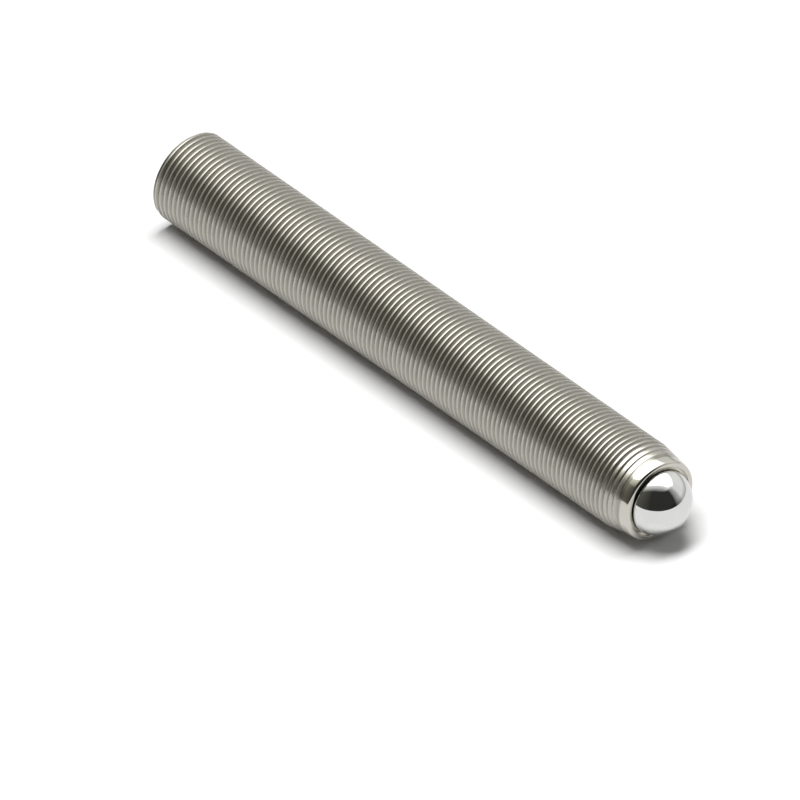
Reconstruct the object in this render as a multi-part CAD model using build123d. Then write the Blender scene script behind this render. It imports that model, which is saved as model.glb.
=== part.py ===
from build123d import *
import os
from math import radians, sin, sqrt, tan

# A headless adjusting screw that lies along X with its ball end towards +X.
# The origin is on the surface it lies on, below the middle of its length. All sizes are in millimetres.

# Overall size
overall_length = 38.0
thread_diameter = 5.0

# Rear end: a turned chamfer round the rim and a hexagon drive socket in the face
rear_chamfer = 0.12
socket_across_flats = 2.5
socket_depth = 3.0
socket_mouth_chamfer = 0.1
drill_point_angle = 118.0

# Front end: a slow taper that carries the thread's run-out, then a rounded lip round the ball
taper_length = 1.95
lip_wall = 0.295
lip_outer_round = 0.15
lip_inner_round = 0.05

# Ball and its bore, which is wider at the mouth so that a gap shows round the ball
ball_diameter = 3.65
ball_centre_inset = 0.235
mouth_gap = 0.115
mouth_depth = 0.2
bore_clearance = 0.005
seat_clearance = 0.005

# Places and radii that follow from the sizes above, with x counted from the rear face
thread_radius = thread_diameter / 2
ball_radius = ball_diameter / 2
bore_radius = ball_radius + bore_clearance
mouth_radius = ball_radius + mouth_gap
lip_radius = mouth_radius + lip_wall
ball_x = overall_length - ball_radius
mouth_x = ball_x + ball_centre_inset
mouth_end_x = mouth_x - mouth_depth
taper_x = mouth_x - taper_length
half_point_angle = radians(drill_point_angle / 2)
bore_apex_x = ball_x - (ball_radius + seat_clearance) / sin(half_point_angle)
bore_corner_x = bore_apex_x + bore_radius / tan(half_point_angle)
pilot_radius = socket_across_flats / 2
pilot_apex_x = socket_depth + pilot_radius / tan(half_point_angle)
socket_mouth_radius = socket_across_flats / sqrt(3) + socket_mouth_chamfer


def turned(points, rounds=()):
    """Revolves an outline of (x, radius) points about the screw's axis, with round corners as (point, radius)."""
    outline = make_face(Polyline(*points, close=True))
    for point, radius in rounds:
        corner = outline.vertices().sort_by_distance(Vector(*point))[0]
        outline = fillet(corner, radius)
    return revolve(Plane.XZ * outline, Axis.X)


def make_drive_socket():
    """The hexagon socket in the rear face, with the pilot drill's point at its end and a turned mouth."""
    hexagon = RegularPolygon(pilot_radius, side_count=6, major_radius=False)
    hexagon_hole = extrude(Plane.YZ * hexagon, socket_depth)
    pilot_point = turned([(socket_depth, 0), (pilot_apex_x, 0), (socket_depth, pilot_radius)])
    mouth = turned([(0, 0), (socket_mouth_radius, 0), (0, socket_mouth_radius)])
    return hexagon_hole + pilot_point + mouth


def make_screw_body():
    """The turned piece at the thread's outer diameter, from the rear face to the lip round the ball."""
    lip_corner = (mouth_x, lip_radius)
    mouth_corner = (mouth_x, mouth_radius)
    outline = [
        (0, 0),
        (0, thread_radius - rear_chamfer),
        (rear_chamfer, thread_radius),
        (taper_x, thread_radius),
        lip_corner,
        mouth_corner,
        (mouth_end_x, mouth_radius),
        (mouth_end_x, bore_radius),
        (bore_corner_x, bore_radius),
        (bore_apex_x, 0),
    ]
    rounds = [(lip_corner, lip_outer_round), (mouth_corner, lip_inner_round)]
    return turned(outline, rounds) - make_drive_socket()


def make_ball():
    """The ball on the screw's axis, its centre just inside the lip."""
    return Pos(ball_x, 0, 0) * Sphere(ball_radius)


def laid_down(piece):
    """Moves a piece from the turning axis to where it lies, with the middle of the length over the origin."""
    return Pos(-overall_length / 2, 0, thread_radius) * piece


os.makedirs("parts", exist_ok=True)
export_step(laid_down(make_screw_body()), "parts/screw_body.step")
export_step(laid_down(make_ball()), "parts/ball.step")
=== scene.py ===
from math import atan2, ceil, cos, hypot, pi, radians, sin, sqrt, tan

import bmesh
import bpy
from bpy.props import FloatProperty, FloatVectorProperty, PointerProperty
from mathutils import Matrix, Vector


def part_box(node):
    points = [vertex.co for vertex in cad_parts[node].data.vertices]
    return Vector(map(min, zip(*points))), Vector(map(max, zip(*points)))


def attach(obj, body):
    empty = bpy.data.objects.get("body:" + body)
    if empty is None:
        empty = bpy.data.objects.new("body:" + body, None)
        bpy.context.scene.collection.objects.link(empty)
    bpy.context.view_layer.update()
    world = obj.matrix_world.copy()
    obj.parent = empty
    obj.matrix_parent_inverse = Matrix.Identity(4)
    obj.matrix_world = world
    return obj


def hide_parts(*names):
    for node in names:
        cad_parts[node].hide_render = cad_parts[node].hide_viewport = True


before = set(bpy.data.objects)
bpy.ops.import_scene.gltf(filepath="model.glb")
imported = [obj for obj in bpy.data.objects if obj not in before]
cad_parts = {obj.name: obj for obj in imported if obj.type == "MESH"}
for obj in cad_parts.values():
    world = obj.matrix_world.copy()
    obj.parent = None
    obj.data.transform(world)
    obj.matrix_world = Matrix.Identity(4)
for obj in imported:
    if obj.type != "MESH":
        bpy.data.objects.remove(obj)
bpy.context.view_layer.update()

bl_info = {
    "name": "Ball-end adjusting screw",
    "version": (1, 0, 0),
    "blender": (4, 5, 0),
    "location": "3D View > Sidebar > Adjusting screw",
    "description": "Models a fine-thread adjusting screw with a polished ball in its nose, and a studio",
    "category": "Mesh",
}

# Sizes that the CAD solids give, in metres
MM = 0.001
body_low, body_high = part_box("screw_body")
ball_low, ball_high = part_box("ball")
AXIS_HEIGHT = (body_low.z + body_high.z) / 2
BALL_X = (ball_low.x + ball_high.x) / 2

# Columns round the axis, a multiple of 12, so that the hexagon's corners and flats fall on columns
COLUMNS = 72

# Edges that turn more than this stay sharp, such as the corners at the foot of the thread's flanks
SHARP_ANGLE = radians(30.0)

# How fast a flank of the thread moves along the axis as it goes down, and the steps that round the
# crest's edges
FLANK_SLOPE = tan(radians(30.0))
EDGE_TURNS = (0.0, radians(20.0), radians(40.0), radians(60.0))

# Turns between the first crest and the rear face, which set where the thread starts on the rim
LEAD_TURNS = 1.63

# Points closer than this are joined, and those of the thread once more when its crests have been lowered
JOIN_DISTANCE = 0.0005 * MM
LOWERED_JOIN_DISTANCE = 0.001 * MM

# Fine turning rings in a millimetre, and how deep their marks and the ball's lapping marks are
RINGS_PER_MM = 34.0
RING_DEPTH = 0.002 * MM
LAPPING_DEPTH = 0.0004 * MM

# Where the nose's polish sets in and where the painted shade in the thread's grooves ends, in millimetres
# along the axis
POLISH_START = (16.66, 16.74)
GROOVE_SHADE_END = (16.86, 16.95)

# The studio's own sizes, in metres
FLOOR_REACH = 0.1
SOFTBOX_HEIGHT = 0.3
ROOM_RADIUS = 0.9
ROOM_BOTTOM = -0.05
CAMERA_DISTANCE = 0.4

# How far the ball stands right of the frame's middle and below it, in millimetres
BALL_RIGHT = 12.99
BALL_BELOW = 5.03

# Corners of the softbox as seen from the screw, each a tangent from straight above towards +X and +Y
SOFTBOX_CORNERS = (
    (-0.88, -0.59), (-0.5, -0.64), (-0.1, -0.34), (0.58, 0.37),
    (0.6, 0.87), (0.1, 1.12), (-0.4, 1.15), (-0.98, 0.55),
)

# The softbox's bright middle: how its oval is squeezed, its centre then, and the distances where it fades
GLOW_SQUEEZE = (1.6, 0.75, 1.0)
GLOW_CENTRE = (-0.144, 0.015, SOFTBOX_HEIGHT)
GLOW_FADE = (0.06, 0.27)

# Levels of grey round the room that the metal mirrors, by the angle in degrees from +X towards +Y
ROOM_LEVELS = (
    (-180, 0.42), (-125, 0.38), (-112, 0.10), (-62, 0.03), (20, 0.03),
    (28, 0.24), (42, 0.48), (49, 0.78), (90, 0.85), (112, 0.80), (180, 0.50),
)


def size(name, text, default, soft_max=0.05):
    """A length in metres, as a property that a user can change."""
    return FloatProperty(
        name=name,
        description=text,
        default=default,
        min=0.0,
        soft_max=soft_max,
        unit="LENGTH",
        precision=5,
    )


def colour(name, text, default):
    """A linear colour, as a property that a user can change."""
    return FloatVectorProperty(
        name=name, description=text, default=default, size=3, min=0.0, max=1.0, subtype="COLOR"
    )


def share(name, text, default):
    """A number from 0 to 1, as a property that a user can change."""
    return FloatProperty(
        name=name, description=text, default=default, min=0.0, max=1.0, subtype="FACTOR"
    )


def angle(name, text, degrees):
    """An angle, as a property that a user can change."""
    return FloatProperty(
        name=name, description=text, default=radians(degrees), unit="ROTATION", subtype="ANGLE"
    )


def strength(name, text, default):
    """A light's strength, as a property that a user can change."""
    return FloatProperty(name=name, description=text, default=default, min=0.0)


class AdjustingScrewSizes(bpy.types.PropertyGroup):
    """The screw's sizes."""

    outer_radius: size("Outer radius", "Radius over the thread's crests", (body_high.z - body_low.z) / 2)
    pitch: size("Pitch", "Advance of the thread in one turn", 0.333 * MM)
    thread_depth: size("Thread depth", "Depth of the groove below the crests", 0.187 * MM)
    crest_width: size("Crest width", "Width of the flat crest before its edges are rounded", 0.112 * MM)
    crest_round: size("Crest round", "Radius of the crest's two edges", 0.02 * MM)
    root_hollow: size("Root hollow", "How much deeper the groove's middle is than its corners", 0.004 * MM)
    rear_chamfer: size("Rear chamfer", "Width and height of the chamfer round the rear rim", 0.12 * MM)
    taper_length: size("Taper length", "Length of the slow taper behind the lip", 1.95 * MM)
    lip_radius: size("Lip radius", "Radius where the taper would meet the lip's face", 2.235 * MM)
    lip_round: size("Lip round", "Radius of the lip's outer edge", 0.15 * MM)
    mouth_radius: size("Mouth radius", "Radius of the wider mouth round the ball", 1.94 * MM)
    mouth_round: size("Mouth round", "Radius of the lip's inner edge", 0.05 * MM)
    mouth_depth: size("Mouth depth", "Depth of the wider mouth", 0.2 * MM)
    bore_radius: size("Bore radius", "Radius of the hole that the ball sits in", 1.83 * MM)
    bore_depth: size("Bore depth", "Depth of the straight part of the ball's hole", 1.2703 * MM)
    socket_flats: size("Socket across flats", "Width of the hexagon socket in the rear face", 2.5 * MM)
    socket_depth: size("Socket depth", "Depth of the hexagon socket", 3.0 * MM)
    socket_mouth: size("Socket mouth", "Width of the turned mouth outside the hexagon's corners", 0.1 * MM)
    drill_point: angle("Drill point", "Angle of the drill's point at the end of both holes", 118.0)
    ball_radius: size("Ball radius", "Radius of the polished ball", (ball_high.z - ball_low.z) / 2)


class AdjustingScrewFinish(bpy.types.PropertyGroup):
    """The colours and finishes of the steel."""

    body_colour: colour("Body colour", "Stainless steel of the thread's crests", (0.53, 0.515, 0.47))
    patch_colour: colour("Patch colour", "Slightly lighter patches on the crests", (0.55, 0.53, 0.485))
    nose_colour: colour("Nose colour", "Brighter steel of the polished nose", (0.67, 0.65, 0.59))
    # The groove colour is painted shade: it darkens the thread's flanks and roots, where shade falls in the
    # grooves
    groove_shade_colour: colour("Groove colour", "Darker film on the flanks of the thread", (0.4, 0.385, 0.335))
    body_roughness: share("Body roughness", "Roughness of the turned steel", 0.24)
    ball_colour: colour("Ball colour", "Hardened steel of the ball", (0.82, 0.82, 0.81))
    haze_colour: colour("Haze colour", "Faint lapping haze on the ball", (0.78, 0.785, 0.775))
    ball_roughness: share("Ball roughness", "Roughness of the polished ball", 0.035)


class AdjustingScrewStudio(bpy.types.PropertyGroup):
    """The camera's place and the studio's light."""

    azimuth: angle("Azimuth", "Camera's direction round the screw", 49.15)
    elevation: angle("Elevation", "Camera's height above the floor", 36.8)
    frame_width: size("Frame width", "Width of what the camera sees", 40.45 * MM)
    floor_colour: colour("Floor colour", "Pale floor that the screw lies on", (0.8, 0.8, 0.8))
    mirrored_floor: colour("Mirrored floor", "The floor's colour as the metal mirrors it", (0.8, 0.8, 0.8))
    neutral_card: colour("Neutral cards", "Tint of the cards behind the screw", (1.0, 1.0, 0.98))
    olive_card: colour("Olive card", "Tint of the card on the screw's near side", (1.0, 0.975, 0.84))
    softbox_strength: strength("Softbox strength", "Radiance of the softbox that the metal mirrors", 1.65)
    softbox_middle: strength("Softbox middle", "How much brighter the softbox is in its middle", 2.3)
    key_power: strength("Key power", "Watts of the soft lamp over the floor", 11.0)
    key_height: size("Key height", "Height of the soft lamp above the floor", 1.0, 2.0)
    key_width: size("Key width", "Length of the soft lamp along the screw", 0.33, 1.0)
    key_depth: size("Key depth", "Length of the soft lamp across the screw", 0.79, 1.0)
    key_tilt: angle("Key tilt", "How far the soft lamp stands from straight above, on the near side", 6.65)
    fill_strength: strength("Fill strength", "Radiance of the room's even fill light", 0.1)


class Wire:
    """One output of a node, which takes Python's own arithmetic. Each step adds its Math node."""

    def __init__(self, bench, socket):
        self.bench = bench
        self.socket = socket

    def __add__(self, other):
        return self.bench.maths("ADD", self, other)

    def __sub__(self, other):
        return self.bench.maths("SUBTRACT", self, other)

    def __rsub__(self, other):
        return self.bench.maths("SUBTRACT", other, self)

    def __mul__(self, other):
        return self.bench.maths("MULTIPLY", self, other)

    def __truediv__(self, other):
        return self.bench.maths("DIVIDE", self, other)

    def __rtruediv__(self, other):
        return self.bench.maths("DIVIDE", other, self)

    def __pow__(self, other):
        return self.bench.maths("POWER", self, other)

    def __rpow__(self, other):
        return self.bench.maths("POWER", other, self)

    __radd__ = __add__
    __rmul__ = __mul__


class Bench:
    """The node tree of one material or of the world, and the one way that its nodes are added."""

    def __init__(self, tree):
        tree.nodes.clear()
        self.tree = tree

    def node(self, kind, settings=None, sockets=None, output=0):
        """Adds a node, sets its settings first, then its sockets, and returns one of its outputs, if any."""
        made = self.tree.nodes.new(kind)
        for name, value in (settings or {}).items():
            if name == "stops":
                self.set_stops(made.color_ramp, value)
            else:
                setattr(made, name, value)
        for name, value in (sockets or {}).items():
            if isinstance(value, Wire):
                self.tree.links.new(value.socket, made.inputs[name])
            else:
                made.inputs[name].default_value = value
        return Wire(self, made.outputs[output]) if made.outputs else made

    def set_stops(self, ramp, stops):
        """Gives a colour ramp its stops, each a place and a grey level."""
        while len(ramp.elements) < len(stops):
            ramp.elements.new(0.5)
        for element, (place, level) in zip(ramp.elements, stops):
            element.position = place
            element.color = (level, level, level, 1.0)

    def maths(self, operation, first, second):
        """A Math node on two values or wires."""
        return self.node("ShaderNodeMath", {"operation": operation}, {0: first, 1: second})

    def vector_maths(self, operation, first, second=(0.0, 0.0, 0.0), output=0):
        """A Vector Math node on two vectors."""
        return self.node("ShaderNodeVectorMath", {"operation": operation}, {0: first, 1: second}, output)

    def smooth(self, value, low, high):
        """0 below low, 1 above high, and smooth between."""
        return self.node(
            "ShaderNodeMapRange",
            {"interpolation_type": "SMOOTHSTEP"},
            {"Value": value, "From Min": low, "From Max": high},
        )

    def mix(self, factor, first, second):
        """A colour between two, by factor. Inputs 6 and 7 and output 2 of the node are its colours."""
        return self.node(
            "ShaderNodeMix",
            {"data_type": "RGBA"},
            {0: factor, 6: opaque(first), 7: opaque(second)},
            2,
        )

    def split(self, vector):
        """The three parts of a vector."""
        return (self.node("ShaderNodeSeparateXYZ", None, {0: vector}, axis) for axis in range(3))


def opaque(value):
    """A colour with its fourth number, or the wire as it is."""
    return value if isinstance(value, Wire) else (*value, 1.0)


def new_material(name):
    """An empty material with nodes, and the bench for its tree."""
    material = bpy.data.materials.new(name)
    material.use_nodes = True
    return material, Bench(material.node_tree)


def place_on_axis(bench):
    """The point on the surface in millimetres, counted from the screw's axis."""
    here = bench.node("ShaderNodeTexCoord", output="Object")
    return bench.node(
        "ShaderNodeMapping",
        {"vector_type": "POINT"},
        {"Vector": here, "Location": (0.0, 0.0, -AXIS_HEIGHT / MM), "Scale": (1 / MM, 1 / MM, 1 / MM)},
    )


def noise(bench, vector, scale, detail, roughness):
    """Soft noise from 0 to 1, with scale in cells for each unit of the vector."""
    return bench.node(
        "ShaderNodeTexNoise",
        {"noise_dimensions": "3D"},
        {"Vector": vector, "Scale": scale, "Detail": detail, "Roughness": roughness},
    )


def steel_surface(bench, tone, roughness, bump):
    """Bare metal with the given colour, roughness and fine relief."""
    shader = bench.node(
        "ShaderNodeBsdfPrincipled",
        None,
        {"Base Color": tone, "Metallic": 1.0, "Roughness": roughness, "Normal": bump},
    )
    bench.node("ShaderNodeOutputMaterial", None, {"Surface": shader})


def make_body_steel(finish, sizes):
    """Turned stainless steel with fine rings, painted shade in the grooves and faint handling marks."""
    material, bench = new_material("body_steel")
    place = place_on_axis(bench)
    along, across, height = bench.split(place)
    radius = (across * across + height * height) ** 0.5
    ring_sockets = {0: along * RINGS_PER_MM, 1: radius * RINGS_PER_MM, 2: 0.0}
    ring_place = bench.node("ShaderNodeCombineXYZ", None, ring_sockets)
    ring_marks = noise(bench, ring_place, scale=1.0, detail=3.0, roughness=0.6)
    stretched = bench.vector_maths("MULTIPLY", place, (0.28, 1.0, 1.0))
    patches = noise(bench, stretched, scale=0.55, detail=3.0, roughness=0.55)
    handling = noise(bench, place, scale=2.6, detail=4.0, roughness=0.6)
    outer = sizes.outer_radius / MM
    root = outer - sizes.thread_depth / MM
    taper_start = (body_high.x - sizes.taper_length) / MM
    on_taper = bench.maths("MAXIMUM", along - taper_start, 0.0)
    below_crest = outer - on_taper * taper_slope(sizes) - radius
    # The painted shade grows from the crests down the flanks and is fullest in the root, all in millimetres
    flank_shade = bench.smooth(below_crest, -0.006, 0.03)
    root_shade = 1.0 - bench.smooth(radius, root + 0.004, root + 0.04)
    on_thread = (1.0 - bench.smooth(along, *GROOVE_SHADE_END)) * bench.smooth(radius, root - 0.03, root - 0.01)
    # Painted shade: the flanks below the crests and a line along the root take the darker groove colour, and
    # are made a little rougher
    painted_groove_shade = bench.maths("MAXIMUM", flank_shade * 0.9, root_shade) * on_thread
    on_nose = bench.smooth(along, *POLISH_START)
    patchy = bench.mix(bench.smooth(patches, 0.35, 0.65), finish.body_colour, finish.patch_colour)
    steel = bench.mix(on_nose, patchy, finish.nose_colour)
    tone = bench.mix(painted_groove_shade, steel, finish.groove_shade_colour)
    turned = finish.body_roughness + (ring_marks - 0.5) * 0.10 + bench.smooth(handling, 0.5, 0.8) * 0.07
    roughness = (turned + painted_groove_shade * 0.12) * (1.0 - on_nose * 0.55)
    relief = {"Strength": 0.5, "Distance": RING_DEPTH, "Height": ring_marks + patches * 0.2}
    steel_surface(bench, tone, roughness, bench.node("ShaderNodeBump", None, relief))
    return material


def make_ball_steel(finish):
    """Mirror-polished hardened steel with a faint lapping haze."""
    material, bench = new_material("ball_steel")
    place = place_on_axis(bench)
    haze = noise(bench, place, scale=1.7, detail=3.0, roughness=0.5)
    lapping = noise(bench, place, scale=22.0, detail=2.0, roughness=0.5)
    tone = bench.mix(bench.smooth(haze, 0.3, 0.7), finish.ball_colour, finish.haze_colour)
    roughness = finish.ball_roughness + bench.smooth(haze, 0.45, 0.75) * 0.03
    relief = {"Strength": 0.15, "Distance": LAPPING_DEPTH, "Height": lapping}
    steel_surface(bench, tone, roughness, bench.node("ShaderNodeBump", None, relief))
    return material


def new_object(bm, name, material):
    """Turns a bmesh into an object at the origin with one material."""
    mesh = bpy.data.meshes.new(name)
    bm.to_mesh(mesh)
    bm.free()
    mesh.materials.append(material)
    made = bpy.data.objects.new(name, mesh)
    bpy.context.scene.collection.objects.link(made)
    return made


def finish_piece(bm, name, material, node):
    """Turns a bmesh into a piece that stands for a CAD node and rides on its body."""
    piece = new_object(bm, name, material)
    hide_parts(node)
    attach(piece, "root")
    return piece


def taper_slope(sizes):
    """Fall of the front taper's radius for each unit along the axis."""
    return (sizes.outer_radius - sizes.lip_radius) / sizes.taper_length


def taper_lean(sizes):
    """Angle between the front taper and the axis."""
    return atan2(sizes.outer_radius - sizes.lip_radius, sizes.taper_length)


def crest_outline(sizes):
    """One pitch of the thread's outline from root to root, as (distance from the crest, depth) pairs."""
    flat = sizes.crest_width / 2 - sizes.crest_round * FLANK_SLOPE
    bend = [
        (flat + sizes.crest_round * sin(turn), sizes.crest_round * (1 - cos(turn)))
        for turn in EDGE_TURNS
    ]
    corner_depth = sizes.thread_depth - sizes.root_hollow
    corner = (bend[-1][0] + (corner_depth - bend[-1][1]) * FLANK_SLOPE, corner_depth)
    front = [*bend, corner, (sizes.pitch / 2, sizes.thread_depth)]
    return [(-x, depth) for x, depth in reversed(front)] + front


def envelope(x, sizes):
    """Radius of the turned blank at x: the rear chamfer, the straight length or the front taper."""
    taper_start = body_high.x - sizes.taper_length
    chamfered = sizes.outer_radius - sizes.rear_chamfer + (x - body_low.x)
    tapered = sizes.outer_radius - (x - taper_start) * taper_slope(sizes)
    return min(sizes.outer_radius, chamfered, tapered)


def groove_depth(offset, outline):
    """Depth of the thread's outline below the crests, at a distance from the middle of a crest."""
    for (near, near_depth), (far, far_depth) in zip(outline, outline[1:]):
        if offset <= far:
            return near_depth + (far_depth - near_depth) * (offset - near) / (far - near)
    return outline[-1][1]


def rim_places(sizes):
    """Where the threaded tube ends: the rear face, and where the lip's rounding leaves the taper."""
    return body_low.x, body_high.x - sizes.lip_round * (1 - sin(taper_lean(sizes)))


def fit_to_blank(bm, sizes, first_crest):
    """Lowers the crests down their own flanks where the blank is thinner, and cuts both ends square."""
    outline = crest_outline(sizes)
    bend_depth = sizes.crest_round * (1 - cos(EDGE_TURNS[-1]))
    slide_limit = sizes.thread_depth - sizes.root_hollow - bend_depth
    slide_rounds = 24
    low, high = rim_places(sizes)
    for vert in bm.verts:
        turn = atan2(vert.co.z, vert.co.y) / (2 * pi)
        radius = hypot(vert.co.y, vert.co.z)
        offset = (vert.co.x - first_crest) / sizes.pitch - turn
        side = 1.0 if offset - round(offset) > 0 else -1.0
        depth = sizes.outer_radius - radius
        x = vert.co.x
        if depth < bend_depth + JOIN_DISTANCE:
            slide = 0.0
            for _ in range(slide_rounds):
                there = x + side * slide * FLANK_SLOPE
                slide = min(sizes.outer_radius - envelope(there, sizes), slide_limit)
            x += side * slide * FLANK_SLOPE
            radius -= slide
        if x < low or x > high:
            x = min(max(x, low), high)
            offset = (x - first_crest) / sizes.pitch - turn
            radius = sizes.outer_radius - groove_depth((offset - round(offset)) * sizes.pitch, outline)
        radius = min(radius, envelope(x, sizes))
        vert.co = Vector((x, radius * cos(turn * 2 * pi), radius * sin(turn * 2 * pi)))


def make_thread_tube(sizes):
    """The threaded outside, as an open tube round the X axis: one turn spun, then stacked by doubling."""
    low, high = rim_places(sizes)
    first_crest = low - LEAD_TURNS * sizes.pitch
    bm = bmesh.new()
    outline = [
        bm.verts.new((first_crest + x, sizes.outer_radius - depth, 0.0))
        for x, depth in crest_outline(sizes)
    ]
    edges = [bm.edges.new(pair) for pair in zip(outline, outline[1:])]
    bmesh.ops.spin(
        bm,
        geom=outline + edges,
        cent=(0.0, 0.0, 0.0),
        axis=(1.0, 0.0, 0.0),
        dvec=(sizes.pitch / COLUMNS, 0.0, 0.0),
        angle=2 * pi,
        steps=COLUMNS,
        use_merge=False,
        use_duplicate=False,
    )
    turns = ceil((high - first_crest) / sizes.pitch) + 2
    made = 1
    while made < turns:
        copied = bmesh.ops.duplicate(bm, geom=bm.verts[:] + bm.edges[:] + bm.faces[:])
        new_verts = [g for g in copied["geom"] if isinstance(g, bmesh.types.BMVert)]
        bmesh.ops.translate(bm, verts=new_verts, vec=(made * sizes.pitch, 0.0, 0.0))
        made *= 2
        spare = [v for v in new_verts if v.co.x > high + 2 * sizes.pitch]
        bmesh.ops.delete(bm, geom=spare, context="VERTS")
    bmesh.ops.remove_doubles(bm, verts=bm.verts[:], dist=JOIN_DISTANCE)
    fit_to_blank(bm, sizes, first_crest)
    bmesh.ops.remove_doubles(bm, verts=bm.verts[:], dist=LOWERED_JOIN_DISTANCE)
    return bm


def next_ring(bm, edges, x, radius):
    """Extrudes a ring of edges to x and a radius, each a number or a function of the angle round the axis."""
    made = bmesh.ops.extrude_edge_only(bm, edges=edges)["geom"]
    for vert in (g for g in made if isinstance(g, bmesh.types.BMVert)):
        turn = atan2(vert.co.z, vert.co.y)
        reach = radius(turn) if callable(radius) else radius
        place = x(turn) if callable(x) else x
        vert.co = Vector((place, reach * cos(turn), reach * sin(turn)))
    return [g for g in made if isinstance(g, bmesh.types.BMEdge) and len(g.link_faces) == 1]


def close_at_point(bm, edges, x):
    """Ends a hole in a cone whose tip is on the axis."""
    made = bmesh.ops.extrude_edge_only(bm, edges=edges)["geom"]
    verts = [g for g in made if isinstance(g, bmesh.types.BMVert)]
    bmesh.ops.pointmerge(bm, verts=verts, merge_co=(x, 0.0, 0.0))


def rim_edges(bm, x):
    """The tube's open edges at x."""
    near = 0.02 * MM
    return [e for e in bm.edges if len(e.link_faces) == 1 and all(abs(v.co.x - x) < near for v in e.verts)]


def round_over(bm, edges, centre_x, centre_radius, reach, start, end, inner=False):
    """Carries a ring of edges round an arc, from one angle to another, counted from the radius."""
    steps = 6
    side = -1.0 if inner else 1.0
    for step in range(1, steps + 1):
        turn = start + (end - start) * step / steps
        edges = next_ring(bm, edges, centre_x + reach * sin(turn), centre_radius + side * reach * cos(turn))
    return edges


def add_lip_and_seat(bm, sizes):
    """Rounds the lip over, then lines the ball's wider mouth and its hole down to the drill's point."""
    lean = taper_lean(sizes)
    outer_centre = sizes.lip_radius - sizes.lip_round * tan((pi / 2 - lean) / 2)
    inner_centre = sizes.mouth_radius + sizes.mouth_round
    edges = rim_edges(bm, rim_places(sizes)[1])
    edges = round_over(bm, edges, body_high.x - sizes.lip_round, outer_centre, sizes.lip_round, lean, pi / 2)
    edges = next_ring(bm, edges, body_high.x, inner_centre)
    inner_x = body_high.x - sizes.mouth_round
    edges = round_over(bm, edges, inner_x, inner_centre, sizes.mouth_round, pi / 2, 0.0, inner=True)
    step_x = body_high.x - sizes.mouth_depth
    edges = next_ring(bm, edges, step_x, sizes.mouth_radius)
    edges = next_ring(bm, edges, step_x, sizes.bore_radius)
    corner_x = body_high.x - sizes.bore_depth
    edges = next_ring(bm, edges, corner_x, sizes.bore_radius)
    close_at_point(bm, edges, corner_x - sizes.bore_radius / tan(sizes.drill_point / 2))


def add_rear_socket(bm, sizes):
    """Closes the rear face and sinks the hexagon socket, with its turned mouth and the drill's point."""
    inner = sizes.socket_flats / 2
    mouth = sizes.socket_flats / sqrt(3) + sizes.socket_mouth

    def hexagon(turn):
        """Radius of the hexagon at an angle round the axis."""
        sixth = pi / 3
        return inner / cos((turn % sixth) - sixth / 2)

    edges = rim_edges(bm, body_low.x)
    edges = next_ring(bm, edges, body_low.x, mouth)
    edges = next_ring(bm, edges, lambda turn: body_low.x + mouth - hexagon(turn), hexagon)
    floor_x = body_low.x + sizes.socket_depth
    edges = next_ring(bm, edges, floor_x, hexagon)
    edges = next_ring(bm, edges, floor_x, inner)
    close_at_point(bm, edges, floor_x + inner / tan(sizes.drill_point / 2))


class ADJUSTING_SCREW_OT_threaded_body(bpy.types.Operator):
    """Models the threaded body with its lip, ball seat, rear chamfer and hexagon socket"""

    bl_idname = "adjusting_screw.threaded_body"
    bl_label = "Threaded body"

    def execute(self, context):
        sizes = context.scene.adjusting_screw_sizes
        bm = make_thread_tube(sizes)
        add_lip_and_seat(bm, sizes)
        add_rear_socket(bm, sizes)
        bmesh.ops.remove_doubles(bm, verts=bm.verts[:], dist=JOIN_DISTANCE)
        bmesh.ops.recalc_face_normals(bm, faces=bm.faces[:])
        if any(len(edge.link_faces) != 2 for edge in bm.edges):
            raise RuntimeError("the threaded body isn't a closed shell")
        for face in bm.faces:
            face.smooth = True
        for edge in bm.edges:
            edge.smooth = edge.calc_face_angle() < SHARP_ANGLE
        bmesh.ops.translate(bm, verts=bm.verts[:], vec=(0.0, 0.0, AXIS_HEIGHT))
        steel = make_body_steel(context.scene.adjusting_screw_finish, sizes)
        piece = finish_piece(bm, "threaded_body", steel, "screw_body")
        weighted = piece.modifiers.new("Weighted normals", "WEIGHTED_NORMAL")
        weighted.keep_sharp = True
        return {"FINISHED"}


class ADJUSTING_SCREW_OT_polished_ball(bpy.types.Operator):
    """Models the polished ball that stands out of the nose"""

    bl_idname = "adjusting_screw.polished_ball"
    bl_label = "Polished ball"

    def execute(self, context):
        sizes = context.scene.adjusting_screw_sizes
        bm = bmesh.new()
        place = Matrix.Translation((BALL_X, 0.0, AXIS_HEIGHT))
        bmesh.ops.create_icosphere(bm, subdivisions=6, radius=sizes.ball_radius, matrix=place)
        for face in bm.faces:
            face.smooth = True
        steel = make_ball_steel(context.scene.adjusting_screw_finish)
        finish_piece(bm, "polished_ball", steel, "ball")
        return {"FINISHED"}


def flat_card(name, corners, material):
    """A flat card with the given corners, in order round its edge."""
    bm = bmesh.new()
    bmesh.ops.contextual_create(bm, geom=[bm.verts.new(corner) for corner in corners])
    card = new_object(bm, name, material)
    return card


def seen_in_metal(bench):
    """1 for rays from metal or glass, and 0 for the others."""
    mirrored = bench.node("ShaderNodeLightPath", output="Is Glossy Ray")
    passed = bench.node("ShaderNodeLightPath", output="Is Transmission Ray")
    return bench.maths("MAXIMUM", mirrored, passed)


def seen_directly(bench):
    """1 for rays from the camera and from metal or glass, and 0 for the rays that only carry light."""
    direct = bench.node("ShaderNodeLightPath", output="Is Camera Ray")
    return bench.maths("MAXIMUM", direct, seen_in_metal(bench))


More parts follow.
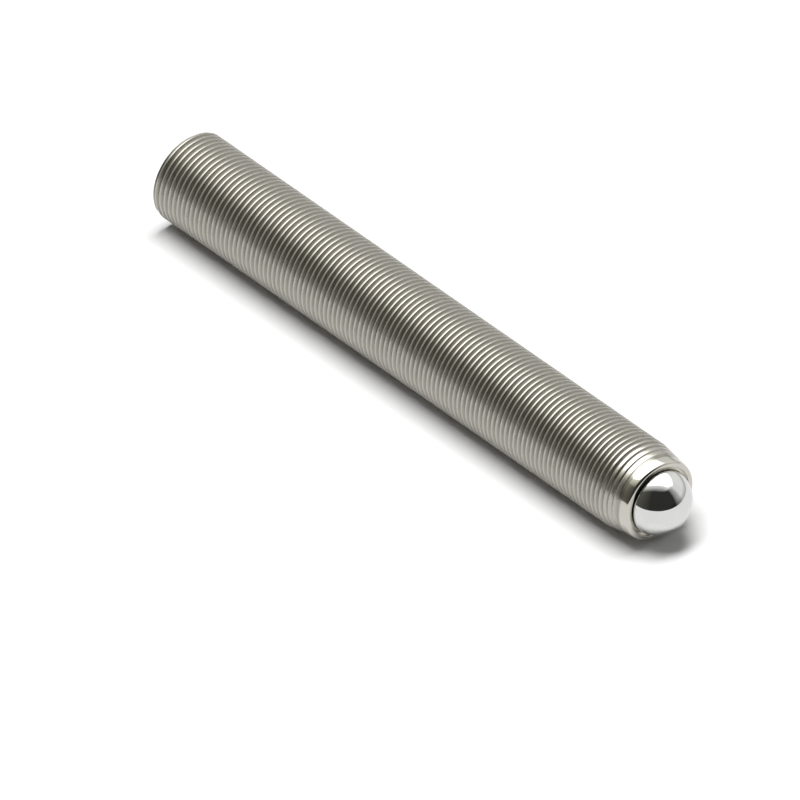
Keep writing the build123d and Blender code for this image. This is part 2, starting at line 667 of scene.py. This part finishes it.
def make_floor_paint(studio):
    """Matt pale floor, white where it is seen directly and just under white in metal."""
    material, bench = new_material("pale_floor")
    bright = bench.mix(seen_in_metal(bench), (1.0, 1.0, 1.0), studio.mirrored_floor)
    tone = bench.mix(seen_directly(bench), studio.floor_colour, bright)
    shader = bench.node("ShaderNodeBsdfDiffuse", None, {"Color": tone})
    bench.node("ShaderNodeOutputMaterial", None, {"Surface": shader})
    return material


def make_softbox_glow(studio):
    """The softbox's glow, strongest in an oval round its middle."""
    material, bench = new_material("softbox")
    here = bench.node("ShaderNodeTexCoord", output="Object")
    oval = bench.vector_maths("MULTIPLY", here, GLOW_SQUEEZE)
    away = bench.vector_maths("DISTANCE", oval, GLOW_CENTRE, "Value")
    glow = (1.0 - bench.smooth(away, *GLOW_FADE)) * studio.softbox_middle + studio.softbox_strength
    shader = bench.node("ShaderNodeEmission", None, {"Strength": glow})
    bench.node("ShaderNodeOutputMaterial", None, {"Surface": shader})
    return material


def make_room_tone(studio):
    """The cards round the screw by direction: black by the camera, olive on the near side, grey behind."""
    material, bench = new_material("room_tone")
    here = bench.node("ShaderNodeTexCoord", output="Object")
    unit = bench.vector_maths("NORMALIZE", here)
    x, y, z = bench.split(unit)
    turn = bench.maths("ARCTAN2", y, x) / (2 * pi) + 0.5
    stops = [((degrees + 180) / 360, level) for degrees, level in ROOM_LEVELS]
    round_room = bench.node("ShaderNodeValToRGB", {"stops": stops}, {0: turn})
    level = bench.node("ShaderNodeRGBToBW", None, {0: round_room})
    uneven = noise(bench, unit, scale=3.0, detail=3.0, roughness=0.6)
    # A soft glow fades out past the softbox's edge, and the room darkens low down behind the screw
    past_edge = (x - y) / z + (uneven - 0.5) * 0.16
    beside = 1.0 - bench.smooth(x / z, 0.6, 0.85)
    near_softbox = (1.0 - bench.smooth(past_edge, 0.15, 0.88)) * bench.smooth(z, 0.55, 0.68) * beside * 0.82
    behind = bench.smooth(y + x * 0.2, 0.1, 0.5)
    far_floor = 1.0 - (1.0 - bench.smooth(z, 0.0, 0.26)) * behind * 0.42
    lit = bench.maths("MAXIMUM", level * far_floor, near_softbox)
    olive = 1.0 - bench.smooth(x * 0.5 + y, -0.9, -0.3)
    tint = bench.mix(olive, studio.neutral_card, studio.olive_card)
    shader = bench.node("ShaderNodeEmission", None, {"Color": tint, "Strength": lit})
    bench.node("ShaderNodeOutputMaterial", None, {"Surface": shader})
    return material


def make_room_dome(material):
    """The dome of cards round the screw, cut off just below the floor."""
    bm = bmesh.new()
    bmesh.ops.create_uvsphere(bm, u_segments=64, v_segments=32, radius=ROOM_RADIUS)
    bmesh.ops.bisect_plane(
        bm,
        geom=bm.verts[:] + bm.edges[:] + bm.faces[:],
        plane_co=(0.0, 0.0, ROOM_BOTTOM),
        plane_no=(0.0, 0.0, 1.0),
        clear_inner=True,
    )
    dome = new_object(bm, "room_cards", material)
    return dome


def only_in_metal(card):
    """Keeps a card out of the picture and out of the light on the floor: only metal mirrors it."""
    card.visible_camera = False
    card.visible_diffuse = False
    card.visible_shadow = False


def light_floor(studio):
    """A soft lamp over the floor, which metal doesn't mirror, because the softbox stands for it there."""
    data = bpy.data.lights.new("key", "AREA")
    data.shape = "RECTANGLE"
    data.size = studio.key_width
    data.size_y = studio.key_depth
    data.energy = studio.key_power
    lamp = bpy.data.objects.new("key", data)
    lamp.location = (0.0, -studio.key_height * tan(studio.key_tilt), studio.key_height)
    lamp.visible_glossy = False
    bpy.context.scene.collection.objects.link(lamp)


def light_room(studio):
    """White world where it is seen directly, and an even fill elsewhere."""
    world = bpy.data.worlds.new("studio")
    world.use_nodes = True
    bench = Bench(world.node_tree)
    level = seen_directly(bench) * (1.0 - studio.fill_strength) + studio.fill_strength
    shader = bench.node("ShaderNodeBackground", None, {"Color": (1.0, 1.0, 1.0, 1.0), "Strength": level})
    bench.node("ShaderNodeOutputWorld", None, {"Surface": shader})
    bpy.context.scene.world = world


def place_camera(studio):
    """Sets the camera at the viewing angle, without perspective."""
    back = Vector((
        sin(studio.azimuth) * cos(studio.elevation),
        -cos(studio.azimuth) * cos(studio.elevation),
        sin(studio.elevation),
    ))
    right = Vector((cos(studio.azimuth), sin(studio.azimuth), 0.0))
    up = back.cross(right)
    ball = Vector((BALL_X, 0.0, AXIS_HEIGHT))
    aim = ball - right * BALL_RIGHT * MM + up * BALL_BELOW * MM
    data = bpy.data.cameras.new("camera")
    data.type = "ORTHO"
    data.ortho_scale = studio.frame_width
    data.clip_start = 0.001
    data.clip_end = 5.0
    camera = bpy.data.objects.new("camera", data)
    camera.rotation_mode = "QUATERNION"
    camera.location = aim + back * CAMERA_DISTANCE
    camera.rotation_quaternion = back.to_track_quat("Z", "Y")
    bpy.context.scene.collection.objects.link(camera)
    bpy.context.scene.camera = camera


class ADJUSTING_SCREW_OT_studio(bpy.types.Operator):
    """Sets up the floor, the softbox, the cards, the lamp, the fill light and the camera"""

    bl_idname = "adjusting_screw.studio"
    bl_label = "Studio"

    def execute(self, context):
        studio = context.scene.adjusting_screw_studio
        ways = ((-1, -1), (1, -1), (1, 1), (-1, 1))
        floor_corners = [(x * FLOOR_REACH, y * FLOOR_REACH, 0.0) for x, y in ways]
        flat_card("floor", floor_corners, make_floor_paint(studio))
        softbox_corners = [
            (SOFTBOX_HEIGHT * x, SOFTBOX_HEIGHT * y, SOFTBOX_HEIGHT)
            for x, y in SOFTBOX_CORNERS
        ]
        only_in_metal(flat_card("softbox", softbox_corners, make_softbox_glow(studio)))
        only_in_metal(make_room_dome(make_room_tone(studio)))
        light_floor(studio)
        light_room(studio)
        place_camera(studio)
        context.scene.view_settings.view_transform = "Standard"
        return {"FINISHED"}


class VIEW3D_PT_adjusting_screw(bpy.types.Panel):
    """The sidebar panel with the screw's operators and properties"""

    bl_label = "Adjusting screw"
    bl_space_type = "VIEW_3D"
    bl_region_type = "UI"
    bl_category = "Adjusting screw"

    def draw(self, context):
        for name in ("sizes", "finish", "studio"):
            group = getattr(context.scene, "adjusting_screw_" + name)
            box = self.layout.box()
            box.label(text=name.capitalize())
            for key in group.__annotations__:
                box.prop(group, key)
        for operator in OPERATORS:
            self.layout.operator(operator.bl_idname)


OPERATORS = (
    ADJUSTING_SCREW_OT_threaded_body,
    ADJUSTING_SCREW_OT_polished_ball,
    ADJUSTING_SCREW_OT_studio,
)
GROUPS = {
    "adjusting_screw_sizes": AdjustingScrewSizes,
    "adjusting_screw_finish": AdjustingScrewFinish,
    "adjusting_screw_studio": AdjustingScrewStudio,
}


def register():
    """Registers the properties, the operators and the panel."""
    for group in GROUPS.values():
        bpy.utils.register_class(group)
    for name, group in GROUPS.items():
        setattr(bpy.types.Scene, name, PointerProperty(type=group))
    for operator in OPERATORS:
        bpy.utils.register_class(operator)
    bpy.utils.register_class(VIEW3D_PT_adjusting_screw)


def unregister():
    """Takes away what register() added."""
    bpy.utils.unregister_class(VIEW3D_PT_adjusting_screw)
    for operator in reversed(OPERATORS):
        bpy.utils.unregister_class(operator)
    for name in GROUPS:
        delattr(bpy.types.Scene, name)
    for group in reversed(GROUPS.values()):
        bpy.utils.unregister_class(group)


def main():
    """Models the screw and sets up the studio."""
    register()
    bpy.ops.adjusting_screw.threaded_body()
    bpy.ops.adjusting_screw.polished_ball()
    bpy.ops.adjusting_screw.studio()
    bpy.context.view_layer.update()


if __name__ == "__main__":
    main()
